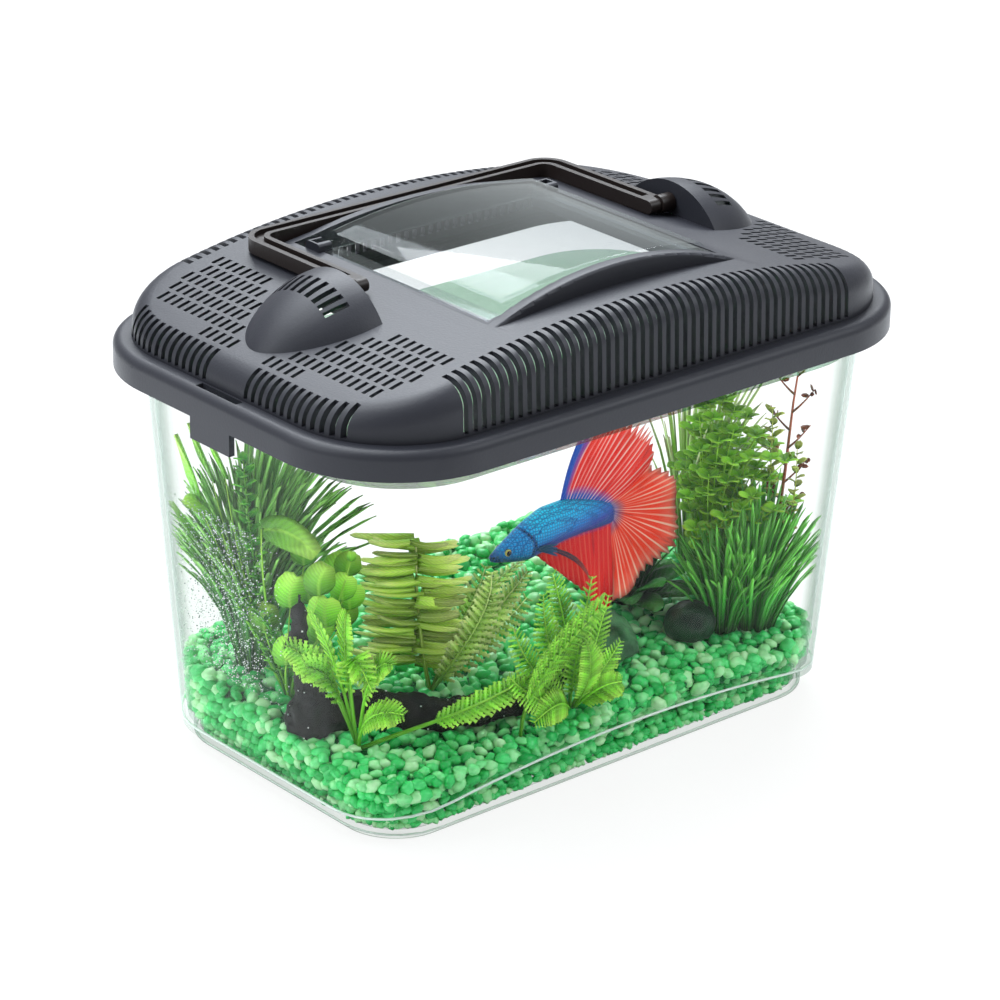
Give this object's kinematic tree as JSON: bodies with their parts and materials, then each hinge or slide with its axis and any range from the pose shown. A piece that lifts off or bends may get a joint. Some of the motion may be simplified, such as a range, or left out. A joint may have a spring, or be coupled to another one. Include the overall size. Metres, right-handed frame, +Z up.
{
  "type": "betta aquarium",
  "caption": "Small clear tapered fish tank with green gravel, plants and a betta, under a slotted grey lid with a clear hinged feeding hatch and a folding handle.",
  "frame": {"origin": "middle of the tank's foot, on the surface it stands on", "axes": "+X along the tank's length, -Y to the front, +Z up"},
  "size_m": [0.23, 0.152, 0.165],
  "materials": {
    "clear_plastic": "clear gloss",
    "gravel": "coated stone grains",
    "lid_plastic": "satin moulded",
    "handle_plastic": "satin moulded",
    "driftwood": "dark wet wood",
    "green_glass_rock": "gloss",
    "dark_stone": "smooth",
    "green_leaf": "soft",
    "pale_leaf": "soft",
    "red_twig": "soft",
    "fish_blue": "wet scales",
    "fish_red": "thin fins"
  },
  "bodies": {
    "tank": {"tank": "clear_plastic", "gravel_bed": "gravel", "driftwood": "driftwood", "green_rock": "green_glass_rock", "round_stone": "dark_stone", "grass_plant_left": "green_leaf", "reed_plant": "pale_leaf", "grass_plant_right": "green_leaf", "grass_tuft": "green_leaf", "needle_plant": "pale_leaf", "broadleaf_plant": "green_leaf", "clover_plant": "pale_leaf", "fern_left": "pale_leaf", "fern_centre": "pale_leaf", "red_sprig": "red_twig", "betta_body": "fish_blue", "dorsal_fin": "fish_red", "tail_fin": "fish_red", "anal_fin": "fish_red", "ventral_fins": "fish_red", "pectoral_fins": "fish_blue"},
    "lid": {"lid": "lid_plastic"},
    "hatch": {"hatch": "clear_plastic"},
    "handle": {"handle": "handle_plastic"}
  },
  "joints": [
    {"name": "lid_lift", "type": "slide", "parent": "tank", "child": "lid", "axis": [0, 0, 1], "range_m": [0, 0.08]},
    {"name": "hatch_hinge", "type": "hinge", "parent": "lid", "child": "hatch", "pos_m": [0, 0.036, 0.1556], "axis": [-1, 0, 0], "range_deg": [0, 88]},
    {"name": "handle_swing", "type": "hinge", "parent": "lid", "child": "handle", "pos_m": [0, 0, 0.1567], "axis": [1, 0, 0], "range_deg": [0, 155]}
  ]
}
